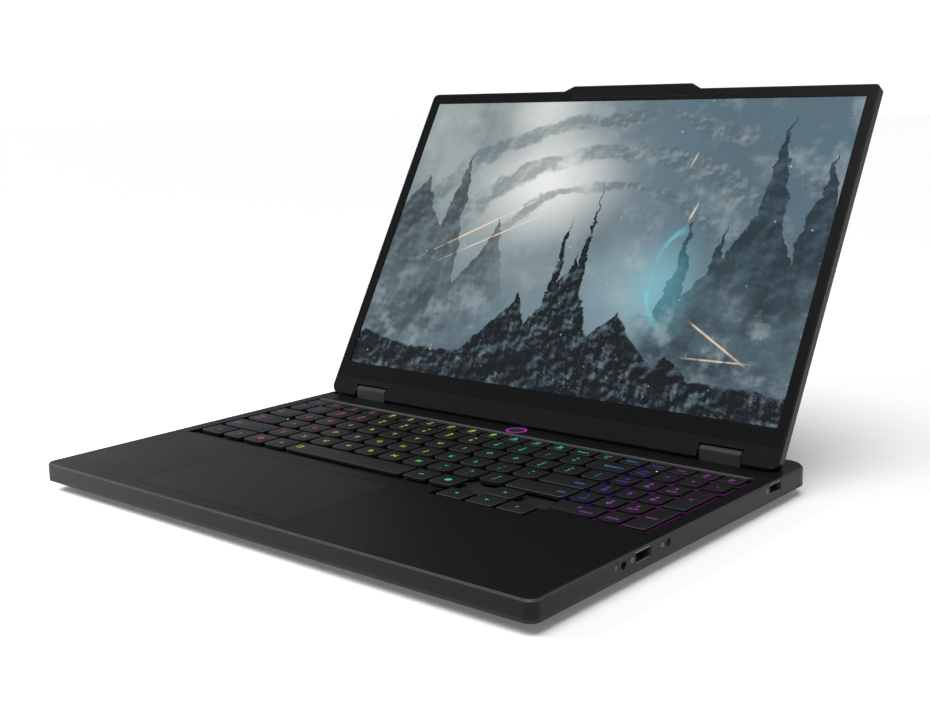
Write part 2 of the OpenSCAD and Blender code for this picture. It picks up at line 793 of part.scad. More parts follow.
// Socket shell opening towards +X with its mouth at x = 0; w and h are inside sizes
module shell(w, h, d) {
    difference() {
        block(-d, -w / 2 - shell_t, -h / 2 - shell_t, 0, w / 2 + shell_t, h / 2 + shell_t);
        block(-d + 1, -w / 2, -h / 2, 1, w / 2, h / 2);
    }
}

module usb_a(d) {
    union() {
        shell(usb_w, usb_h, d);
        block(-d + 1 - eps, -5.5, 0.2, -3, 5.5, 2.1);
    }
}

module usb_c() {
    d = 7.4;
    union() {
        shell(usb_c_w - 2 * shell_t, usb_c_h - 2 * shell_t, d);
        block(-d + 1 - eps, -3.3, -0.35, -1, 3.3, 0.35);
    }
}

module usb_sockets() {
    color([0.35, 0.35, 0.37]) in_base() {
        translate([side_x - 0.3, usb_front_y, port_z]) usb_a(port_d + wall - 0.3);
        translate([side_x - 0.3, usb_rear_y, port_z]) usb_a(short_d);
        for (y = usb_c_y) translate([-side_x + 0.3, y, port_z]) mirror([1, 0, 0]) usb_c();
    }
}

module headset_jack() {
    color([0.1, 0.1, 0.1]) in_base() difference() {
        union() {
            block(in_x - port_d, jack_y - 3.1, jack_z - 2.25, in_x, jack_y + 3.1, jack_z + 2.25);
            rod_x(in_x - eps, jack_y, jack_z, 2, wall - 0.4);
        }
        rod_x(in_x - port_d + 1.5, jack_y, jack_z, jack_r, port_d + wall);
    }
}

module rear_sockets() {
    color([0.3, 0.3, 0.32]) in_base() for (p = rear_ports)
        translate([p[0], base_d - 0.4, rear_z]) rotate([0, 0, 90]) shell(p[1], p[2], 11.5);
}

// ---- hinges ----

// Side view of a hinge block, about the hinge axis
module hinge_plan(r, hd, low) {
    intersection() {
        union() {
            translate([-hd, low]) square([2 * hd, 1.5 - low]);
            circle(r = r);
        }
        translate([-hd, low]) square([2 * hd, r - low + 1]);
    }
}

module along_x(x, len) {
    translate([x, axis_y, axis_z]) rotate([90, 0, 90]) linear_extrude(height = len) children();
}

module hinge_covers() {
    x = hinge_x - hinge_w / 2;
    color([0.2, 0.2, 0.21]) in_base() both() difference() {
        along_x(x, hinge_w) hinge_plan(hinge_r, hinge_hd, cover_low);
        along_x(x + 1.2, hinge_w - 2.4) union() {
            circle(r = hinge_hd - cover_wall);
            translate([-hinge_hd + cover_wall, cover_low - 1])
                square([2 * (hinge_hd - cover_wall), 1 - cover_low]);
        }
        rod_x(x - 1, axis_y, axis_z, pin_r + 0.2, 4);
    }
}

module hinge_brackets() {
    x = hinge_x - bracket_hw;
    color([0.55, 0.56, 0.58]) in_base() both() difference() {
        union() {
            along_x(x, 2 * bracket_hw) union() {
                circle(r = hinge_hd - cover_wall - fit);
                translate([-hinge_hd + cover_wall + fit, cover_low])
                    square([2 * (hinge_hd - cover_wall - fit), -cover_low]);
            }
            block(hinge_x - 19, axis_y - 17, rib_z - 1.2, hinge_x + 19, axis_y + 6, rib_z);
        }
        rod_x(x - 1, axis_y, axis_z, pin_r + 0.1, 2 * bracket_hw + 2);
        for (dx = [-14, 14]) translate([hinge_x + dx, axis_y - 12, rib_z - 2])
            cylinder(r = 1.1, h = 4);
        // way down for the display cable
        translate([cable_end + cable_r, axis_y, rib_z - 2]) cylinder(r = 1.2, h = 4);
    }
}

// Pins turn with the lid; each is hollow, for the display cable on the left
module hinge_pins() {
    x = hinge_x - hinge_w / 2 - 15;
    color([0.6, 0.6, 0.62]) in_lid() both() difference() {
        rod_x(x, 0, 0, pin_r, hinge_w + 11);
        rod_x(x - 1, 0, 0, 0.75, hinge_w + 13);
    }
}

module hinge_arms() {
    x = hinge_x - hinge_w / 2 - 14;
    z = -lid_hw + lid_wall;
    color([0.55, 0.56, 0.58]) in_lid() both() difference() {
        union() {
            rod_x(x, 0, 0, pin_r + 0.5, 11);
            block(x, -pin_r, z, x + 11, 40, z + 0.6);
            block(x, -pin_r, z, x + 11, pin_r, 0);
        }
        rod_x(x - 1, 0, 0, pin_r, 13);
        for (y = [24, 34]) translate([x + 5.5, y, z - 1]) cylinder(r = 1.1, h = 4);
    }
}

// ---- lid ----

module notch_plan(g) {
    both() translate([hinge_x - hinge_w / 2 - 1.2 - g, -lid_below - 5])
        square([hinge_w + 2.4 + 2 * g, lid_below + 5 + notch_up + g]);
}

module lid_plan(g) {
    bump_g = g < 1 ? g : 1.2;
    union() {
        plan(-lid_half + g, -lid_below + g, lid_half - g, lid_top - g, 7.1 - g, max(3.6 - g, 0.6));
        polygon([
            [-bump_w / 2 - bump_foot + g / 2, lid_top - g - eps],
            [bump_w / 2 + bump_foot - g / 2, lid_top - g - eps],
            [bump_w / 2 - bump_g / 2, bump_top - g], [-bump_w / 2 + bump_g / 2, bump_top - g]]);
    }
}

module lid_cover() {
    color([0.14, 0.14, 0.15]) in_lid() difference() {
        lid_form();
        slab(-lid_hw + lid_wall, lid_t) difference() {
            lid_plan(lid_wall);
            notch_plan(lid_wall);
        }
        slab(-lid_hw - 1, lid_t + 2) notch_plan(0);
        // way into the lid for the hinge pins
        both() rod_x(hinge_x - hinge_w / 2 - 4, 0, 0, pin_r + 0.1, 5);
    }
}

// Outer form of the lid: straight sides with a slope along the back and lower front edges
module lid_form() {
    intersection() {
        slab(-lid_hw, lid_t) lid_plan(0);
        translate([-lid_half - 1, 0, 0]) rotate([90, 0, 90])
            linear_extrude(height = 2 * lid_half + 2) polygon([
                [-lid_below, -lid_hw + sweep_cut], [-lid_below + sweep_cut, -lid_hw],
                [bump_top - back_cut, -lid_hw], [bump_top, -lid_hw + back_cut],
                [bump_top, lid_hw], [-lid_below + sweep_cut, lid_hw],
                [-lid_below, lid_hw - sweep_cut]]);
        translate([0, bump_top + 1, 0]) rotate([90, 0, 0])
            linear_extrude(height = bump_top + lid_below + 2) polygon([
                [-lid_half, lid_hw], [-lid_half, -lid_hw + back_cut],
                [-lid_half + back_cut, -lid_hw], [lid_half - back_cut, -lid_hw],
                [lid_half, -lid_hw + back_cut], [lid_half, lid_hw]]);
    }
}

module front_frame() {
    slab(lid_hw - 0.1 - bezel_t, bezel_t) difference() {
        intersection() {
            lid_plan(lid_wall + 0.06);
            children();
        }
        notch_plan(lid_wall + 0.06);
    }
}

module screen_bezel() {
    color([0.05, 0.05, 0.06]) in_lid() difference() {
        front_frame() translate([-lid_half, chin_up + 0.05]) square([2 * lid_half, bump_top]);
        slab(0, lid_t) translate([-screen_w / 2, screen_up]) square([screen_w, screen_h]);
        translate([camera_x, camera_up, 0]) cylinder(r = 1.6, h = lid_t);
    }
}

module chin_cover() {
    color([0.12, 0.12, 0.13]) in_lid()
        front_frame() translate([-lid_half, -lid_below]) square([2 * lid_half, lid_below + chin_up - 0.05]);
}

module display_panel() {
    color([0.2, 0.25, 0.3]) in_lid()
        slab(panel_z - panel_t, panel_t) translate([-screen_w / 2 - 3.2, screen_up - 5])
            square([screen_w + 6.4, screen_h + 7.6]);
}

module camera_module() {
    color([0.05, 0.05, 0.08]) in_lid() translate([camera_x, camera_up, 0]) union() {
        block(-22, -1.7, panel_z - 1.2, 22, 4.6, panel_z);
        translate([0, 0, panel_z - eps]) cylinder(r = 1.5, h = 0.6);
    }
}

module display_board() {
    color([0.05, 0.22, 0.12]) in_lid()
        block(-100, 5, panel_z - 1.2, 100, screen_up - 5.2, panel_z - 0.2);
}

// A lead of the base: a round cable through a list of points
module lead(points) {
    union() {
        for (i = [0:len(points) - 2]) {
            a = points[i];
            b = points[i + 1];
            d = b - a;
            translate(a) rotate([0, acos(d[2] / norm(d)), atan2(d[1], d[0])])
                cylinder(r = cable_r, h = norm(d));
        }
        for (i = [1:len(points) - 2]) translate(points[i]) sphere(r = cable_r);
    }
}

// The display cable's lower part, and the ribbons of the touchpad, keyboard and battery
module base_cables() {
    x = -cable_end - cable_r;
    z = post_z + cable_r + 0.1;
    top = board_z + board_t + cable_r;
    color([0.12, 0.12, 0.12]) in_base() {
        lead([[x, axis_y, axis_z + cable_r], [x, axis_y, z], [-board_w - 2, axis_y, z],
            [-board_w - 2, axis_y, top], [-board_w + 6, axis_y, top]]);
        block(touch_x - 6, touch_rear + 7.1, board_z + board_t,
            touch_x + 6, touch_rear + 7.4, deck_under - 1.5);
        block(-30, fan_y - 46, board_z + board_t, -6, fan_y - 45.7, plate_z - plate_t - 0.4);
        block(60, arrow_front - 8, board_z + 0.3, 68, arrow_front + 4, board_z + 0.9);
    }
}

module display_cable() {
    color([0.1, 0.1, 0.1]) in_lid() union() {
        rod_x(-cable_end, 0, 0, cable_r, cable_end - 60);
        translate([-60, 0, 0]) sphere(r = cable_r);
        translate([-60, 0, 0]) rotate([-90, 0, 0]) cylinder(r = cable_r, h = 9);
    }
}

top_cover();
bottom_cover();
rubber_feet();
bottom_screws();
keyboard_plate();
dome_sheet();
light_guide();
escape_key();
function_keys();
number_keys();
backspace_key();
upper_letter_keys();
home_letter_keys();
enter_key();
left_shift_key();
lower_letter_keys();
right_shift_key();
modifier_keys();
space_bar();
up_arrow_key();
left_arrow_key();
down_arrow_key();
right_arrow_key();
number_pad_keys();
pad_plus_key();
pad_enter_key();
touchpad();
touchpad_bracket();
power_button();
power_light_ring();
shutter_button();
button_switches();
base_cables();
mainboard();
processors();
memory_modules();
solid_state_drive();
wireless_card();
io_boards();
battery();
speakers();
fan_housings();
left_fan_rotor();
right_fan_rotor();
heat_sink();
fin_stacks();
usb_sockets();
headset_jack();
rear_sockets();
hinge_brackets();
hinge_covers();
hinge_pins();
hinge_arms();
lid_cover();
screen_bezel();
chin_cover();
display_panel();
camera_module();
display_board();
display_cable();
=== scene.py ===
# Laptop computer, opened on a pale studio floor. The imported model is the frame: every size and
# place below is read from it, in metres, and the looks are built around it.
import json
from math import pi, radians

import bpy
from mathutils import Matrix, Vector

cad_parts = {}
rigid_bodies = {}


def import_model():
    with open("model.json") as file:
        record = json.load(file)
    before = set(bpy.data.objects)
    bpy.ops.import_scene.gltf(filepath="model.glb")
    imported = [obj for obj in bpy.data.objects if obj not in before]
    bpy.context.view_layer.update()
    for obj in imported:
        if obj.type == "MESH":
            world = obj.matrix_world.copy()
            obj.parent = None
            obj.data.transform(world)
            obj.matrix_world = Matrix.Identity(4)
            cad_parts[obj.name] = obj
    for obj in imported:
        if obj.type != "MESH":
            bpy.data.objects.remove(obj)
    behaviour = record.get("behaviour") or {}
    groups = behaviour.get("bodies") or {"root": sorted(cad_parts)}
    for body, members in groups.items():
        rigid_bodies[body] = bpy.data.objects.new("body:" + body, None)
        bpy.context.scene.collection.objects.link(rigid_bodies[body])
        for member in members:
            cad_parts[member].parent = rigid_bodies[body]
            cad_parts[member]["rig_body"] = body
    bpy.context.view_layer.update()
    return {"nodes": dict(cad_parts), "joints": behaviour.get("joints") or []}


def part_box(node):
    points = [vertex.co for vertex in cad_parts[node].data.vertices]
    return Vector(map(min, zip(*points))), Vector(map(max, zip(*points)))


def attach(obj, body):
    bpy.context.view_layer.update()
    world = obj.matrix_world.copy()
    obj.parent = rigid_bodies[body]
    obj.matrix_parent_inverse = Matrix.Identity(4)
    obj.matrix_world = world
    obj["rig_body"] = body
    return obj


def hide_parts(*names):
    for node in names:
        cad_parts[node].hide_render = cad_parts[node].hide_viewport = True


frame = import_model()
MM = 0.001


# ---- Studio
# A camera a little above the table in front of the right corner, a pale floor that runs out
# of sight, one wide soft lamp overhead, one over the floor, and a pale surround.
EYE = Vector((477.43, -574.88, 215.42)) * MM
LOOK_LEFT = 0.6979
LOOK_DOWN = 0.1891
HEAD_TILT = -0.0164

bpy.ops.object.camera_add()
camera = bpy.context.object
camera.data.lens = 49.84
camera.data.sensor_width = 36
camera.data.clip_start = 0.01
aim = Matrix.Rotation(LOOK_LEFT, 4, "Z") @ Matrix.Rotation(pi / 2 - LOOK_DOWN, 4, "X")
camera.matrix_world = Matrix.Translation(EYE) @ aim @ Matrix.Rotation(HEAD_TILT, 4, "Z")
bpy.context.scene.camera = camera
bpy.context.scene.view_settings.view_transform = "Standard"


# A wide soft lamp overhead, a little in front and to the right
bpy.ops.object.light_add(type="SUN", rotation=(radians(15), radians(5), 0))
overhead = bpy.context.object
overhead.name = "overhead_lamp"
overhead.data.angle = radians(50)
overhead.data.energy = 2.5

# A lamp over the floor in front of the left corner: its light comes back off the floor
bpy.ops.object.light_add(type="AREA", location=(-0.55, -0.5, 0.45))
floor_lamp = bpy.context.object
floor_lamp.name = "floor_lamp"
floor_lamp.data.size = 0.35
floor_lamp.data.energy = 8
floor_lamp.visible_glossy = False

# The surround is white to look at; as a light it is bright low on the left and dim above
surround = bpy.data.worlds.new("surround")
surround.use_nodes = True
bpy.context.scene.world = surround
backdrop = surround.node_tree.nodes["Background"]
backdrop.inputs["Color"].default_value = (0.94, 0.98, 1.02, 1)


def surround_node(kind, values):
    """Adds a node to the surround and links or sets its sockets."""
    made = surround.node_tree.nodes.new(kind)
    for name, value in values.items():
        if isinstance(value, bpy.types.NodeSocket):
            surround.node_tree.links.new(value, made.inputs[name])
        else:
            made.inputs[name].default_value = value
    return made.outputs


def surround_ramp(value, start, end, first, last):
    """Runs from first to last while the value runs from start to end."""
    return surround_node("ShaderNodeMapRange", {0: value, 1: start, 2: end, 3: first, 4: last})[0]


DIM = 0.2
TO_THE_EYE = 1.1
toward = surround_node("ShaderNodeTexCoord", {})["Generated"]
parts = surround_node("ShaderNodeSeparateXYZ", {0: toward})
low = surround_ramp(parts["Z"], 0.8, 0.3, 0.0, 1.0)
left = surround_ramp(parts["X"], -0.72, -0.98, DIM, 1.1)
lighting = surround_ramp(low, 0.0, 1.0, DIM, left)
seen = surround_node("ShaderNodeLightPath", {})["Is Camera Ray"]
strength = surround_ramp(seen, 0.0, 1.0, lighting, TO_THE_EYE)
surround.node_tree.links.new(strength, backdrop.inputs["Strength"])


# ---- Finishes
# A finish is one node-based material. Arithmetic on its signals adds the maths nodes.
class Signal:
    """One output socket of a finish."""

    def __init__(self, finish, socket):
        self.finish = finish
        self.socket = socket

    def maths(self, operation, *values):
        return self.finish.node("ShaderNodeMath", {"operation": operation}, dict(enumerate(values)))

    def __add__(self, other):
        return self.maths("ADD", self, other)

    def __radd__(self, other):
        return self.maths("ADD", other, self)

    def __sub__(self, other):
        return self.maths("SUBTRACT", self, other)

    def __rsub__(self, other):
        return self.maths("SUBTRACT", other, self)

    def __mul__(self, other):
        return self.maths("MULTIPLY", self, other)

    def __rmul__(self, other):
        return self.maths("MULTIPLY", other, self)

    def __truediv__(self, other):
        return self.maths("DIVIDE", self, other)

    def __pow__(self, other):
        return self.maths("POWER", self, other)

    def size(self):
        return self.maths("ABSOLUTE", self)

    def ramp(self, low, high):
        """0 at low, 1 at high, smooth between; low may be the larger."""
        values = {0: self, 1: low, 2: high, 3: 0, 4: 1}
        return self.finish.node("ShaderNodeMapRange", {"interpolation_type": "SMOOTHSTEP"}, values)


class Finish:
    """One material, built up from nodes."""

    def __init__(self, name):
        self.material = bpy.data.materials.new(name)
        self.material.use_nodes = True
        self.tree = self.material.node_tree
        self.tree.nodes.clear()
        self.place = self.node("ShaderNodeTexCoord", out="Object")

    def node(self, kind, settings=None, values=None, out=0):
        """Adds one node: its settings first, then a number or a signal for each socket."""
        made = self.tree.nodes.new(kind)
        for name, value in (settings or {}).items():
            if name == "stops":
                while len(made.color_ramp.elements) < len(value):
                    made.color_ramp.elements.new(1)
                for element, (spot, colour) in zip(made.color_ramp.elements, value):
                    element.position = spot
                    element.color = (*colour, 1)
            else:
                setattr(made, name, value)
        for name, value in (values or {}).items():
            if isinstance(value, Signal):
                self.tree.links.new(value.socket, made.inputs[name])
            else:
                made.inputs[name].default_value = value
        return Signal(self, made.outputs[out])

    def noise(self, scale, detail=2.0, rough=0.5, place=None):
        """Noise between 0 and 1, by default over the place on the piece."""
        values = {"Vector": place or self.place, "Scale": scale, "Detail": detail, "Roughness": rough}
        return self.node("ShaderNodeTexNoise", values=values)

    def mix(self, amount, first, second):
        """Blends two colours, each an (r, g, b) or a signal."""
        first, second = (c if isinstance(c, Signal) else (*c, 1) for c in (first, second))
        return self.node("ShaderNodeMix", {"data_type": "RGBA"}, {0: amount, 6: first, 7: second}, out=2)

    def split(self, vector=None):
        """The x, y and z signals of a vector, by default of the place on the piece."""
        parts = self.node("ShaderNodeSeparateXYZ", values={0: vector or self.place})
        return [Signal(self, socket) for socket in parts.socket.node.outputs]

    def edges(self):
        """1 on the narrow faces between the level ones and the upright ones."""
        upward = self.split(self.node("ShaderNodeNewGeometry", out="Normal"))[2]
        return upward.ramp(0.25, 0.45) * upward.ramp(0.97, 0.88)

    def surface(self, values, relief=None, depth=0.0):
        """The Principled shader, with relief as a bump of that depth."""
        if relief is not None:
            values["Normal"] = self.node("ShaderNodeBump", values={"Distance": depth, "Height": relief})
        for name, value in values.items():
            if isinstance(value, tuple) and len(value) == 3:
                values[name] = (*value, 1)
        shader = self.node("ShaderNodeBsdfPrincipled", values=values)
        output = self.tree.nodes.new("ShaderNodeOutputMaterial")
        self.tree.links.new(shader.socket, output.inputs["Surface"])
        return self


def wear(finish, *nodes):
    """Gives CAD nodes a finish."""
    for name in nodes:
        frame["nodes"][name].material_slots[0].material = finish.material


def moulded(name, tone, rough, grain=2600, depth=0.00002, shine=0.3, bevel_highlight=None):
    """Moulded plastic with a fine grain, a tone that drifts a little and, if a bevel highlight is given, a
    painted highlight: that paler tone on the bevelled edges.
    """
    plastic = Finish(name)
    drift = plastic.noise(9, 3)
    fine = plastic.noise(grain, 2, 0.6)
    low, high = (tuple(part * share for part in tone) for share in (0.88, 1.12))
    colour = plastic.mix(drift, low, high)
    if bevel_highlight:
        # Painted highlight: the bevelled edges take the paler tone, standing in for light caught there
        colour = plastic.mix(plastic.edges() * (0.75 + 0.5 * drift), colour, (bevel_highlight, bevel_highlight, bevel_highlight))
    roughness = rough + 0.10 * (plastic.noise(22, 4) - 0.5) + 0.08 * (fine - 0.5)
    values = {"Base Color": colour, "Roughness": roughness, "Specular IOR Level": shine}
    return plastic.surface(values, fine, depth)


def steel(name, tone, scale, detail, noise_rough=0.5, rough=0.3, uneven=0.2, metallic=1.0):
    """Plated or blackened steel, unevenly bright from how it was rolled or turned."""
    metal = Finish(name)
    worked = metal.noise(scale, detail, noise_rough)
    values = {"Base Color": tone, "Metallic": metallic, "Roughness": rough + uneven * worked}
    return metal.surface(values, worked, 0.00001)


# ---- Bottom cover
# The tray that the laptop stands on: moulded in black plastic with vents, held by screws,
# with five rubber feet glued to it.
wear(moulded("bottom_plastic", (0.012, 0.012, 0.0125), 0.55), "bottom_cover")
rubber = moulded("foot_rubber", (0.016, 0.016, 0.016), 0.8, grain=1500, depth=0.00004, shine=0.2)
wear(rubber, "rubber_feet")
wear(steel("screw_steel", (0.09, 0.09, 0.095), 3000, 3), "bottom_screws")


# ---- Boards and what is soldered to them
# Black-green fibreglass boards with copper runs under the lacquer, carrying the processors,
# memory, drive and radio as black resin packages.
lacquer = Finish("board")
cell_size = {"Vector": lacquer.place, "Scale": 420.0}
runs = lacquer.node("ShaderNodeTexVoronoi", {"feature": "DISTANCE_TO_EDGE"}, cell_size).ramp(0.05, 0.12)
lacquer.surface({
    "Base Color": lacquer.mix(runs, (0.03, 0.09, 0.05), (0.006, 0.022, 0.013)),
    "Roughness": 0.35,
    "Coat Weight": 0.3,
}, runs, 0.00003)
wear(lacquer, "mainboard", "io_boards", "display_board", "button_switches")
resin = moulded("chip", (0.014, 0.014, 0.015), 0.35, grain=1200, depth=0.00001, shine=0.5)
wear(resin, "processors", "memory_modules", "solid_state_drive", "wireless_card")


# ---- Battery, speakers and leads
# A wrapped lithium battery under the palm rest, a sealed speaker box on each side of it, and
# the leads that join the boards.
wrap = moulded("black_plastic", (0.015, 0.015, 0.016), 0.5, grain=800, depth=0.00003)
wear(wrap, "battery", "speakers", "base_cables", "display_cable")


# ---- Cooling
# Drawn copper pipes flattened over the processors, soldered to stacks of thin fins, and two
# black plastic fans that blow through the fins.
wear(wrap, "fan_housings", "left_fan_rotor", "right_fan_rotor")
copper = Finish("copper")
tarnish = copper.noise(60, 5, 0.6)
copper.surface({
    "Base Color": copper.mix(tarnish, (0.55, 0.25, 0.13), (0.8, 0.42, 0.26)),
    "Metallic": 1.0,
    "Roughness": 0.25 + 0.2 * tarnish,
}, copper.noise(900, 2), 0.00001)
wear(copper, "heat_sink", "fin_stacks")


# ---- Sockets
# Folded plated-steel shells with black tongues, soldered along the edges of the boards.
wear(steel("socket_steel", (0.32, 0.32, 0.33), 700, 4, 0.6, rough=0.28), "usb_sockets", "rear_sockets")
wear(wrap, "headset_jack")


# ---- Keyboard plate
# A blackened steel plate with the rubber dome sheet over it and a light guide under it.
plate = steel("plate_metal", (0.012, 0.012, 0.013), 1400, 3, rough=0.5, uneven=0.15, metallic=0.6)
wear(plate, "keyboard_plate", "touchpad_bracket")
wear(moulded("silicone", (0.01, 0.01, 0.011), 0.6, grain=900), "dome_sheet")
wear(moulded("clear_plastic", (0.6, 0.6, 0.62), 0.3, grain=900, depth=0.00001, shine=0.5), "light_guide")


# ---- Top cover
# One moulding: the deck, the upright edge all round, the key well and the rear shelf. Fine
# matte dark grey plastic, with a painted highlight: a paler tone on its bevelled edges.
deck = moulded("shell_plastic", (0.0046, 0.0046, 0.0050), 0.37, 2800, 0.000016, shine=0.18, bevel_highlight=0.05)
wear(deck, "top_cover")


def add_cube(name):
    """A cube of side 1 about the origin."""
    bpy.ops.object.select_all(action="DESELECT")
    bpy.ops.mesh.primitive_cube_add(size=1)
    bpy.context.object.name = name
    return bpy.context.object


def pick_edges(piece, wanted):
    """Opens a piece in edit mode with only the edges selected whose two ends pass the test."""
    bpy.context.tool_settings.mesh_select_mode = (False, True, False)
    points = [vertex.co for vertex in piece.data.vertices]
    for part in [*piece.data.vertices, *piece.data.polygons]:
        part.select = False
    for edge in piece.data.edges:
        edge.select = wanted(*(points[i] for i in edge.vertices))
    bpy.ops.object.mode_set(mode="EDIT")


# The rear wall of the key well ends in a rounded ledge behind the row of function keys, in a paler tone
# that is a painted highlight
EDGE = 1.3 * MM
PLATE_RIM = 1.6 * MM  # how far the plate runs on under the well's edge
plate_low, plate_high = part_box("keyboard_plate")
left_end = plate_low.x + PLATE_RIM
right_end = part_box("pad_enter_key")[1].x + 1.0 * MM
rear_wall = plate_high.y - PLATE_RIM
ledge_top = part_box("top_cover")[1].z + 0.15 * MM
ledge_at = Vector(((left_end + right_end) / 2, rear_wall - EDGE / 2, ledge_top - EDGE / 2))
ledge = add_cube("well_ledge")
ledge.data.transform(Matrix.Translation(ledge_at) @ Matrix.Diagonal((right_end - left_end, EDGE, EDGE, 1)))
pick_edges(ledge, lambda one, two: max(one.y, two.y) < ledge_at.y and min(one.z, two.z) > ledge_at.z)
bpy.ops.mesh.bevel(offset=EDGE * 0.6, segments=4)
bpy.ops.object.mode_set(mode="OBJECT")
bpy.ops.object.shade_smooth_by_angle(angle=radians(40))
# Painted highlight: the ledge is the deck's plastic made much paler, standing in for the light on its
# chamfer
ledge_plastic = moulded("ledge_plastic", (0.055, 0.055, 0.057), 0.4, 2800, 0.00001)
ledge.data.materials.append(ledge_plastic.material)
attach(ledge, "root")


# ---- Keys
# Moulded black caps with a small bevel round the top, bowed at the front. The legends are clear
# plastic lit from below, in colours that run across the keyboard.
def only(piece):
    """Selects one piece alone."""
    bpy.ops.object.select_all(action="DESELECT")
    piece.select_set(True)
    bpy.context.view_layer.objects.active = piece


def merged_copy(name, node):
    """A CAD node's shape as clean merged faces in a new piece, ready to be worked on."""
    piece = bpy.data.objects.new(name, frame["nodes"][node].data.copy())
    bpy.context.scene.collection.objects.link(piece)
    only(piece)
    bpy.ops.mesh.customdata_custom_splitnormals_clear()
    bpy.ops.object.mode_set(mode="EDIT")
    bpy.ops.mesh.select_all(action="SELECT")
    bpy.ops.mesh.remove_doubles(threshold=0.002 * MM)
    bpy.ops.mesh.dissolve_limited(angle_limit=radians(1))
    bpy.ops.object.mode_set(mode="OBJECT")
    return piece


def corners(piece):
    """Lowest and highest corner of a piece's mesh."""
    points = [vertex.co for vertex in piece.data.vertices]
    return (Vector(min(point[i] for point in points) for i in range(3)),
            Vector(max(point[i] for point in points) for i in range(3)))


ROW_STEP = 6 * MM


def row_and_place(piece):
    """Sorts pieces into rows from the rear, and each row from left to right."""
    low, high = corners(piece)
    middle = (low + high) / 2
    return -round(middle.y / ROW_STEP), middle.x


def loose_parts(piece):
    """Splits a piece into its separate solids, in rows."""
    only(piece)
    bpy.ops.mesh.separate(type="LOOSE")
    return sorted(bpy.context.selected_objects, key=row_and_place)


def join(name, pieces):
    """Joins pieces into one of that name."""
    only(pieces[0])
    for piece in pieces:
        piece.select_set(True)
    if len(pieces) > 1:
        bpy.ops.object.join()
    pieces[0].name = name
    return pieces[0]


def settle(piece):
    """Applies a piece's place and turn, so that its object sits at the origin."""
    only(piece)
    bpy.ops.object.transform_apply(location=True, rotation=True, scale=True)


BOLDER = 0.022


def letters(words, size, place, align="CENTER", turn=(0, 0, 0)):
    """Flat lettering as a mesh, lying at place and facing up until it is turned."""
    bpy.ops.object.text_add()
    text = bpy.context.object
    text.data.body = words
    text.data.size = size
    text.data.resolution_u = 3
    text.data.offset = BOLDER * size
    text.data.align_x = align
    text.data.align_y = "CENTER"
    only(text)
    bpy.ops.object.convert(target="MESH")
    text = bpy.context.object
    text.location = place
    text.rotation_euler = turn
    settle(text)
    return text


# Colours of the backlight, each at its millimetres from the keyboard's middle line
BACKLIGHT = [
    (-165, (0.28, 0.03, 0.33)), (-135, (0.32, 0.02, 0.30)), (-128, (0.38, 0.03, 0.12)),
    (-121, (0.45, 0.004, 0.004)), (-112, (0.44, 0.04, 0.03)), (-98, (0.46, 0.15, 0.03)),
    (-84, (0.46, 0.44, 0.04)), (-14, (0.42, 0.46, 0.03)), (-3, (0.06, 0.42, 0.02)),
    (10, (0.01, 0.40, 0.28)), (70, (0.01, 0.38, 0.32)), (90, (0.01, 0.22, 0.38)),
    (104, (0.02, 0.01, 0.34)), (118, (0.05, 0.01, 0.32)), (126, (0.20, 0.01, 0.30)),
    (165, (0.24, 0.01, 0.26)),
]
LIGHT_END = 165


def backlight(finish):
    """The colour of the light under the keys, which changes from left to right."""
    across = finish.split()[0] / (2 * LIGHT_END * MM) + 0.5
    stops = [((place + LIGHT_END) / (2 * LIGHT_END), colour) for place, colour in BACKLIGHT]
    return finish.node("ShaderNodeValToRGB", {"stops": stops}, {0: across})


legend_light = Finish("legend_light")
legend_light.surface({
    "Base Color": (0.02, 0.02, 0.02),
    "Roughness": 0.6,
    "Specular IOR Level": 0.2,
    "Emission Color": backlight(legend_light),
    "Emission Strength": 1.15,
})

# The caps: black, with painted backlight glowing at the foot of the number pad's walls
key_plastic = Finish("key_plastic")
key_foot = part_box("space_bar")[0].z
pad_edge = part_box("number_pad_keys")[0].x
key_x, _, key_z = key_plastic.split()
# Painted light: the lowest part of the caps' walls glows in the backlight's colour, more towards the
# number pad
near_foot = 0.7 * key_z.ramp(key_foot + 0.7 * MM, key_foot)
painted_backlight_glow = near_foot * key_x.ramp(pad_edge - 12 * MM, pad_edge + 4 * MM)
fine = key_plastic.noise(2400, 2, 0.6)
cap_tone = key_plastic.mix(key_plastic.noise(11, 3), (0.0062, 0.0062, 0.0066), (0.0085, 0.0085, 0.009))
# Painted highlight: the caps' bevels are given a paler tone than the caps
key_plastic.surface({
    "Base Color": key_plastic.mix(key_plastic.edges(), cap_tone, (0.05, 0.05, 0.052)),
    "Roughness": 0.44 + 0.08 * (fine - 0.5),
    "Specular IOR Level": 0.40,
    "Emission Color": key_plastic.mix(painted_backlight_glow, (0, 0, 0), backlight(key_plastic)),
    "Emission Strength": 1.0,
}, fine, 0.000014)

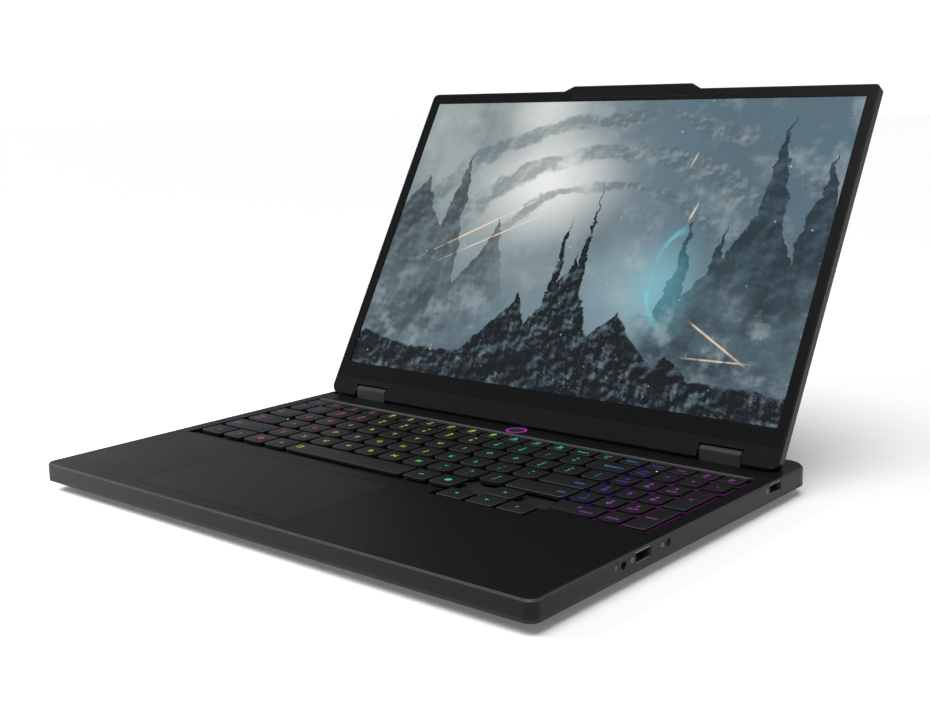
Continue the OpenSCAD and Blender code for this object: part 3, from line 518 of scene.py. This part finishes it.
# Each node's legends, key by key from the rear left; a space starts the second line
LEGENDS = {
    "escape_key": ["esc"],
    "function_keys": ["× F1", "« F2", "» F3", "● F4", "↓ F5", "↑ F6", "□ F7", "◀ F8", "◆ F9", "▲ F10",
                      "○ F11", "▶ F12", "insert", "prt sc", "delete", "home", "end", "pg up", "pg dn"],
    "number_keys": ["~ `", "! 1", "@ 2", "# 3", "$ 4", "% 5", "^ 6", "& 7", "* 8", "( 9", ") 0",
                    "_ -", "+ ="],
    "backspace_key": ["backspace"],
    "upper_letter_keys": ["tab", *"QWERTYUIOP", "{ [", "} ]", "| \\"],
    "home_letter_keys": ["caps lock", *"ASDFGHJKL", ": ;", "\" '"],
    "enter_key": ["enter"],
    "left_shift_key": ["shift"],
    "lower_letter_keys": [*"ZXCVBNM", "< ,", "> .", "? /"],
    "right_shift_key": ["shift"],
    "modifier_keys": ["ctrl", "fn", "●", "alt", "alt", "●"],
    "space_bar": ["□"],
    "up_arrow_key": ["▲"],
    "left_arrow_key": ["◀"],
    "down_arrow_key": ["▼"],
    "right_arrow_key": ["▶"],
    "number_pad_keys": ["num lock", "/", "*", "-", "7 home", "8 ▲", "9 pgup", "4 ◀", "5", "6 ▶",
                        "1 end", "2 ▼", "3 pgdn", "0 insert", ". delete"],
    "pad_plus_key": ["+"],
    "pad_enter_key": ["enter"],
}
# Heights of one letter, of a word, of a letter in two lines, and of the lone signs
LETTER = 5.0 * MM
WORD = 3.2 * MM
TWO_LINE = 4.3 * MM
SIGNS = {"●": 5.4 * MM, "▲": 2.6 * MM, "◀": 2.6 * MM, "▼": 2.6 * MM, "▶": 2.6 * MM}
WIDE = 19 * MM
MARGIN = 3.2 * MM
LINE_STEP = 0.28


def legend(words, low, high):
    """The lettering of one key whose top runs from low to high."""
    centre = (low + high) / 2
    lines = words.split(" ")
    marks = []
    for i, line in enumerate(lines):
        size = SIGNS.get(words, LETTER if len(line) == 1 else WORD)
        if len(lines) == 2:
            size = min(size, TWO_LINE)
        at = Vector((centre.x, centre.y, high.z + 0.02 * MM))
        at.y += (0.5 * (len(lines) - 1) - i) * LINE_STEP * (high.y - low.y)
        align = "CENTER"
        # Words on wide keys stand at the key's outer end, and so does the space bar's sign
        if high.x - low.x >= WIDE and (len(line) > 1 or line == "□"):
            align, at.x = ("RIGHT", high.x - MARGIN) if centre.x > 0 else ("LEFT", low.x + MARGIN)
        marks.append(letters(line, size, at, align))
    return marks


BOWED = ("function_keys", "number_keys", "upper_letter_keys", "home_letter_keys", "lower_letter_keys",
         "number_pad_keys")
FRONT = 3.5 * MM
BOW_W = 8 * MM
BOW_DEPTH = 0.1


def bow_front(cap):
    """Curves the front edge of a cap back towards its two corners."""
    low, high = corners(cap)
    half = (high.x - low.x) / 2
    only(cap)
    pick_edges(cap, lambda one, two: abs(one.x - two.x) > 4 * MM and max(one.y, two.y) < low.y + FRONT)
    bpy.ops.mesh.subdivide(number_cuts=round(2 * half / (1.5 * MM)))
    bpy.ops.object.mode_set(mode="OBJECT")
    for vertex in cap.data.vertices:
        outward = abs(vertex.co.x - low.x - half) - (half - BOW_W)
        if vertex.co.y < low.y + FRONT and outward > 0:
            vertex.co.y += BOW_DEPTH * (high.y - low.y) * (outward / BOW_W) ** 2


for node, words in LEGENDS.items():
    body = frame["nodes"][node]["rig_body"]
    caps = loose_parts(merged_copy(node + "_caps", node))
    marks = []
    for cap, word in zip(caps, words):
        marks += legend(word, *corners(cap))
        if node in BOWED:
            bow_front(cap)
    caps = join(node + "_caps", caps)
    bevel = caps.modifiers.new("bevel", "BEVEL")
    bevel.width = 0.35 * MM
    bevel.segments = 3
    bevel.limit_method = "ANGLE"
    bevel.angle_limit = radians(50)
    only(caps)
    bpy.ops.object.modifier_apply(modifier="bevel")
    bpy.ops.object.shade_smooth_by_angle(angle=radians(35))
    caps.data.materials.clear()
    caps.data.materials.append(key_plastic.material)
    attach(caps, body)
    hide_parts(node)
    marks = join(node + "_legends", marks)
    marks.data.materials.clear()
    marks.data.materials.append(legend_light.material)
    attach(marks, body)


# ---- Lock lamps
# A tiny white lamp under a clear dot, at the rear right corner of the caps lock key and of the
# num lock key. Each is the rear left key of its node.
lamp_white = Finish("lamp_white")
frost = lamp_white.noise(900, 2)
lamp_white.surface({
    "Base Color": (0.5, 0.5, 0.5),
    "Roughness": 0.4,
    "Emission Color": lamp_white.mix(frost, (0.75, 0.78, 0.8), (1.0, 1.0, 1.0)),
    "Emission Strength": 0.9,
})
LAMP_R = 0.45 * MM
LAMP_IN = 1.7 * MM
for node in ("home_letter_keys", "number_pad_keys"):
    probes = loose_parts(merged_copy("probe", node))
    lamp_at = corners(probes[0])[1] + Vector((-LAMP_IN, -LAMP_IN, 0.01 * MM))
    for probe in probes:
        bpy.data.objects.remove(probe)
    bpy.ops.object.select_all(action="DESELECT")
    bpy.ops.mesh.primitive_cylinder_add(vertices=20, radius=LAMP_R, depth=0.08 * MM, location=lamp_at)
    lamp = bpy.context.object
    lamp.name = node + "_lamp"
    bpy.ops.object.mode_set(mode="EDIT")
    bpy.ops.mesh.bevel(offset=0.02 * MM, segments=1)
    bpy.ops.object.mode_set(mode="OBJECT")
    settle(lamp)
    lamp.data.materials.append(lamp_white.material)
    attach(lamp, frame["nodes"][node]["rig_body"])


# ---- Port marks
# Small plain signs printed in pale grey beside the ports on the right side: a headset's bow, a
# square by each socket and a ring by the camera's switch.
mark_ink = Finish("mark_ink")
speckle = mark_ink.noise(2200, 2)
pale_ink = mark_ink.mix(speckle, (0.28, 0.28, 0.29), (0.38, 0.38, 0.39))
mark_ink.surface({"Base Color": pale_ink, "Roughness": 0.6})
jack_low, jack_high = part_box("headset_jack")
jack_mid = (jack_low + jack_high) / 2
side_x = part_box("top_cover")[1].x + 0.02 * MM
FACING_RIGHT = (pi / 2, 0, pi / 2)
BEHIND_JACK = [("∩", -6.4), ("□", 7.0), ("○", 33.0), ("□", 139.0)]
port_marks = []
for sign, behind in BEHIND_JACK:
    at = (side_x, jack_mid.y + behind * MM, jack_mid.z + 0.4 * MM)
    port_marks.append(letters(sign, 2.4 * MM, at, turn=FACING_RIGHT))
port_marks = join("port_marks", port_marks)
port_marks.data.materials.append(mark_ink.material)
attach(port_marks, "root")


# ---- Touchpad
# A sheet of finely etched glass over its circuit, level with the deck. It clicks by tipping
# about its rear edge.
wear(moulded("touch_glass", (0.0062, 0.0062, 0.0068), 0.40, 4200, 0.000006, shine=0.22), "touchpad")


# ---- Buttons
# The power button is a round plastic cap inside a clear ring that is lit from below. The button
# on the right side that works the camera's shutter is black.
wear(moulded("power_cap", (0.016, 0.016, 0.0172), 0.45), "power_button")
wear(moulded("shutter_cap", (0.002, 0.002, 0.0022), 0.5, depth=0.00001, shine=0.1), "shutter_button")
ring_light = Finish("light_ring")
ring_light.surface({
    "Base Color": (0.2, 0.02, 0.2),
    "Roughness": 0.3,
    "Emission Color": ring_light.mix(ring_light.noise(160, 2), (0.40, 0.01, 0.42), (0.62, 0.03, 0.66)),
    "Emission Strength": 0.42,
})
wear(ring_light, "power_light_ring")


# ---- Hinges
# Brushed steel brackets, pins and arms, screwed to the base and the lid, under covers moulded
# in a slightly paler plastic than the deck.
wear(steel("bracket_steel", (0.2, 0.2, 0.21), 500, 4, 0.6), "hinge_brackets", "hinge_pins", "hinge_arms")
wear(moulded("hinge_plastic", (0.035, 0.035, 0.036), 0.4), "hinge_covers")


# ---- Lid cover
# A pressed metal shell with satin dark paint in which fine flakes show. It carries everything
# else of the lid.
paint = Finish("lid_metal")
flake = paint.noise(5200, 1)
paint.surface({
    "Base Color": paint.mix(flake, (0.006, 0.006, 0.0064), (0.010, 0.010, 0.0106)),
    "Roughness": 0.36 + 0.1 * (paint.noise(30, 4) - 0.5),
    "Specular IOR Level": 0.22,
}, flake, 0.000008)
wear(paint, "lid_cover")


# ---- Screen frame and chin
# Two thin black mouldings that close the front of the lid: a frame clipped round the screen,
# and the chin under it that runs between the hinges.
wear(moulded("bezel_plastic", (0.002, 0.002, 0.0022), 0.40, 2200, 0.00001, shine=0.2), "screen_bezel")
wear(moulded("chin_plastic", (0.003, 0.003, 0.0032), 0.40, 2200, 0.00001, shine=0.27), "chin_cover")
camera_glass = moulded("camera_glass", (0.004, 0.004, 0.006), 0.16, 900, 0.000001, shine=0.5)
wear(camera_glass, "camera_module")

# The lid's own axes start at the hinge: x along it, y up the lid, z out of the screen
hinge = next(joint for joint in frame["joints"] if joint["name"] == "lid_hinge")
lean = radians(180 + hinge["range_deg"][0])
lid_frame = Matrix.Translation(hinge["pos_m"]) @ Matrix.Rotation(lean, 4, "X")

# A strip of dark glass over the camera, stuck to the frame inside the bump
GLASS_W = 95.8 * MM
GLASS_H = 5.6 * MM
GLASS_T = 0.16 * MM
glass_at = Vector((1.0 * MM, 231.3 * MM, 2.95 * MM + GLASS_T / 2))
window = add_cube("camera_window")
window.data.transform(Matrix.Diagonal((GLASS_W, GLASS_H, GLASS_T, 1)))
bpy.ops.object.mode_set(mode="EDIT")
bpy.ops.mesh.select_all(action="SELECT")
bpy.ops.mesh.bevel(offset=0.05 * MM, segments=1)
bpy.ops.object.mode_set(mode="OBJECT")
window.data.transform(lid_frame @ Matrix.Translation(glass_at))
window.data.materials.append(camera_glass.material)
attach(window, "lid")


# ---- Display panel
# A liquid crystal panel behind the frame: dark glass, and over it the thin lit sheet that
# shows a made-up view of misty rocks, drawn by the finish.
wear(moulded("screen_glass", (0.006, 0.006, 0.007), 0.25, 900, 0.000001, shine=0.4), "display_panel")

PICTURE_UP = 18.85 * MM
PICTURE_W = 331.7 * MM
PICTURE_H = 207.3 * MM
PICTURE_OUT = 2.0 * MM
bpy.ops.object.select_all(action="DESELECT")
bpy.ops.mesh.primitive_plane_add(size=1)
picture = bpy.context.object
picture.name = "screen_picture"
on_lid = Matrix.Translation((0, PICTURE_UP + PICTURE_H / 2, PICTURE_OUT))
picture.data.transform(lid_frame @ on_lid @ Matrix.Diagonal((PICTURE_W, PICTURE_H, 1, 1)))

# Places on the picture, in millimetres: x runs across from the middle and y up from the lower edge
view = Finish("screen_view")
lower_edge = lid_frame @ Vector((0, PICTURE_UP, PICTURE_OUT))
lying = {"Vector": view.place, "Location": lower_edge, "Rotation": (lean, 0, 0)}
flat = view.node("ShaderNodeMapping", {"vector_type": "TEXTURE"}, lying)
x, y = (part / MM for part in view.split(flat)[:2])


def cloud(scale, detail=5.0, rough=0.6, shift=(0, 0, 0)):
    """A noise over the picture, which shift looks up a little to one side of each place."""
    moved = view.node("ShaderNodeVectorMath", {"operation": "ADD"}, {0: flat, 1: shift})
    return view.noise(scale, detail, rough, moved)


def lit(scale, step, detail=6.0, rough=0.62):
    """Light from the upper left on rough ground: the slope of a noise, about 0.5 on the level."""
    return 0.5 + cloud(scale, detail, rough) - cloud(scale, detail, rough, (step * MM, -step * MM, 0))


def spot(across, up, half_w, half_h):
    """1 at a place of the picture, falling smoothly to 0 around it."""
    return ((((x - across) / half_w) ** 2 + ((y - up) / half_h) ** 2) ** 0.5).ramp(1.0, 0.0)


def streak(across, up, slope, reach, wide):
    """A thin line through a place, reaching that far to each side and fading to its ends."""
    along = (x - across).size().ramp(reach, 0.3 * reach)
    return along * (y - up - slope * (x - across)).size().ramp(wide, 0.0)


# The place across, shaken sideways, so that the peaks stand crooked
crooked = x + 22 * (cloud(26, 5) - 0.5) + 9 * (cloud(95, 4) - 0.5)


def peaks(ground, *tops):
    """1 below a ragged skyline over level ground; a top is its place, height and half width."""
    skyline = ground + 18 * (cloud(48, 6, 0.65) - 0.5)
    for across, tall, half_w in tops:
        fall = ((crooked - across).size() / half_w) ** 0.8
        skyline = skyline.maths("MAXIMUM", skyline, tall - (tall - ground) * fall)
    return (y - skyline - 5 * (cloud(160, 3) - 0.5)).ramp(1.0, -1.0)


# Sky: pale mist on the left with two bright places, slate blue to the right
veil = cloud(14, 6, 0.58)
wisp = cloud(34, 5)
sky = view.mix((x + 0.35 * (y - 100)).ramp(-100, 120), (0.33, 0.38, 0.385), (0.088, 0.15, 0.195))
sky = view.mix(y.ramp(140, 20), sky, (0.15, 0.22, 0.255))
sky = view.mix(0.6 * veil.ramp(0.40, 0.66), sky, (0.10, 0.145, 0.17))
sky = view.mix(spot(-44, 146, 78, 58), sky, (0.80, 0.82, 0.79))
sky = view.mix(0.8 * spot(-62, 200, 52, 40), sky, (0.74, 0.77, 0.74))
sky = view.mix(0.7 * spot(44, 70, 60, 52), sky, (0.30, 0.47, 0.53))
sky = view.mix(0.45 * wisp.ramp(0.5, 0.72), sky, (0.42, 0.48, 0.49))

# Far ribs of rock arching over the top, hardly darker than the mist
arch = ((x - 12) ** 2 + (1.6 * (y - 92)) ** 2) ** 0.5 + 34 * (wisp - 0.5)
ribs = (arch - 122).size().ramp(12, 7) + (arch - 164).size().ramp(11, 6) + (arch - 84).size().ramp(6, 3)
ribs = ribs.maths("MINIMUM", ribs, 1.0) * y.ramp(92, 126) * cloud(20).ramp(0.36, 0.52)
rib_face = view.mix(lit(60, 2.0).ramp(0.45, 0.62), (0.085, 0.125, 0.145), (0.26, 0.32, 0.33))
sky = view.mix(0.6 * ribs, sky, rib_face)

# Middle distance: a cliff on the left and spires on the right, with mist at their feet
cliff_face = view.mix(lit(30, 3.0).ramp(0.42, 0.62), (0.034, 0.050, 0.058), (0.12, 0.16, 0.175))
cliff = peaks(62, (-150, 150, 60), (-116, 172, 20), (-74, 118, 22)) * x.ramp(-38, -84)
sky = view.mix(0.92 * cliff, sky, cliff_face)
spire_face = view.mix(lit(30, 3.0).ramp(0.44, 0.64), (0.014, 0.026, 0.036), (0.045, 0.085, 0.115))
spires = peaks(58, (126, 196, 26), (158, 172, 24), (98, 122, 12), (76, 126, 9), (112, 120, 40))
sky = view.mix(0.95 * spires * x.ramp(48, 70), sky, spire_face)
sky = view.mix(0.75 * y.ramp(112, 36) * cloud(20).ramp(0.3, 0.75), sky, (0.15, 0.225, 0.27))
smoke = cloud(30, 6).ramp(0.50, 0.66) * y.ramp(100, 50)
sky = view.mix(0.6 * smoke, sky, (0.30, 0.37, 0.40))

# Near rocks: a pinnacle on a mound in the middle, on broken ground
pinnacle = [(-2, 96, 40), (4, 152, 6), (-14, 122, 9)]
near = peaks(18, *pinnacle, (-40, 66, 34), (40, 58, 44), (84, 34, 20), (-160, 26, 40))
rock = view.mix(lit(58, 2.4, 8.0, 0.7).ramp(0.47, 0.66), (0.004, 0.007, 0.010), (0.13, 0.19, 0.225))
rock = view.mix(lit(150, 1.0, 6.0, 0.7).ramp(0.60, 0.78), rock, (0.46, 0.55, 0.58))
rock = view.mix(0.75 * cloud(40, 3).ramp(0.42, 0.60), rock, (0.004, 0.006, 0.009))
shown = view.mix(near, sky, rock)

# Streaks of sparks, embers and a cold glow
fire = streak(-84, 112, 0.54, 62, 1.3) + streak(-74, 104, 0.50, 50, 1.0)
fire = fire + streak(112, 46, -0.55, 30, 1.2) + streak(116, 34, 0.02, 26, 0.9)
fire = fire + streak(74, 128, 3.2, 2.6, 4.0) + streak(64, 164, 3.0, 2.0, 3.5)
fire = fire.maths("MINIMUM", fire, 1.0) * cloud(60, 3).ramp(0.3, 0.55)
shown = view.mix(0.85 * fire, shown, (0.95, 0.72, 0.50))
specks = view.node("ShaderNodeTexVoronoi", {}, {"Vector": flat, "Scale": 150.0}).ramp(0.15, 0.05)
shown = view.mix(0.8 * specks * cloud(70, 2).ramp(0.52, 0.66), shown, (0.60, 0.58, 0.52))
from_arc = ((x - 76) ** 2 + (0.55 * (y - 82)) ** 2) ** 0.5 + 10 * (wisp - 0.5) - 18
arc_light = from_arc.size().ramp(2.4, 0.0) * x.ramp(80, 60) * cloud(40).ramp(0.3, 0.6)
cold = 0.30 * spot(68, 78, 32, 46) + 0.7 * arc_light
shown = view.mix(cold.maths("MINIMUM", cold, 0.9), shown, (0.16, 0.66, 0.78))

# It gives off its own light and shows in no reflection
view.surface({
    "Base Color": (0.006, 0.006, 0.006),
    "Roughness": 0.4,
    "Specular IOR Level": 0.12,
    "Emission Color": shown,
    "Emission Strength": 1.0,
})
picture.data.materials.append(view.material)
picture.visible_glossy = False
picture.visible_diffuse = False
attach(picture, "lid")


# ---- Floor
# A matt white floor that runs out of sight and gives off a little light, so that its far end
# stays white.
bpy.ops.object.select_all(action="DESELECT")
bpy.ops.mesh.primitive_plane_add(size=40)
floor = bpy.context.object
floor.name = "floor"
pale = Finish("floor_paint")
pale.surface({
    "Base Color": pale.mix(pale.noise(3, 2), (0.93, 0.93, 0.93), (0.96, 0.96, 0.96)),
    "Roughness": 0.7,
    "Emission Color": (1.0, 1.0, 1.0),
    "Emission Strength": 0.12,
})
floor.data.materials.append(pale.material)
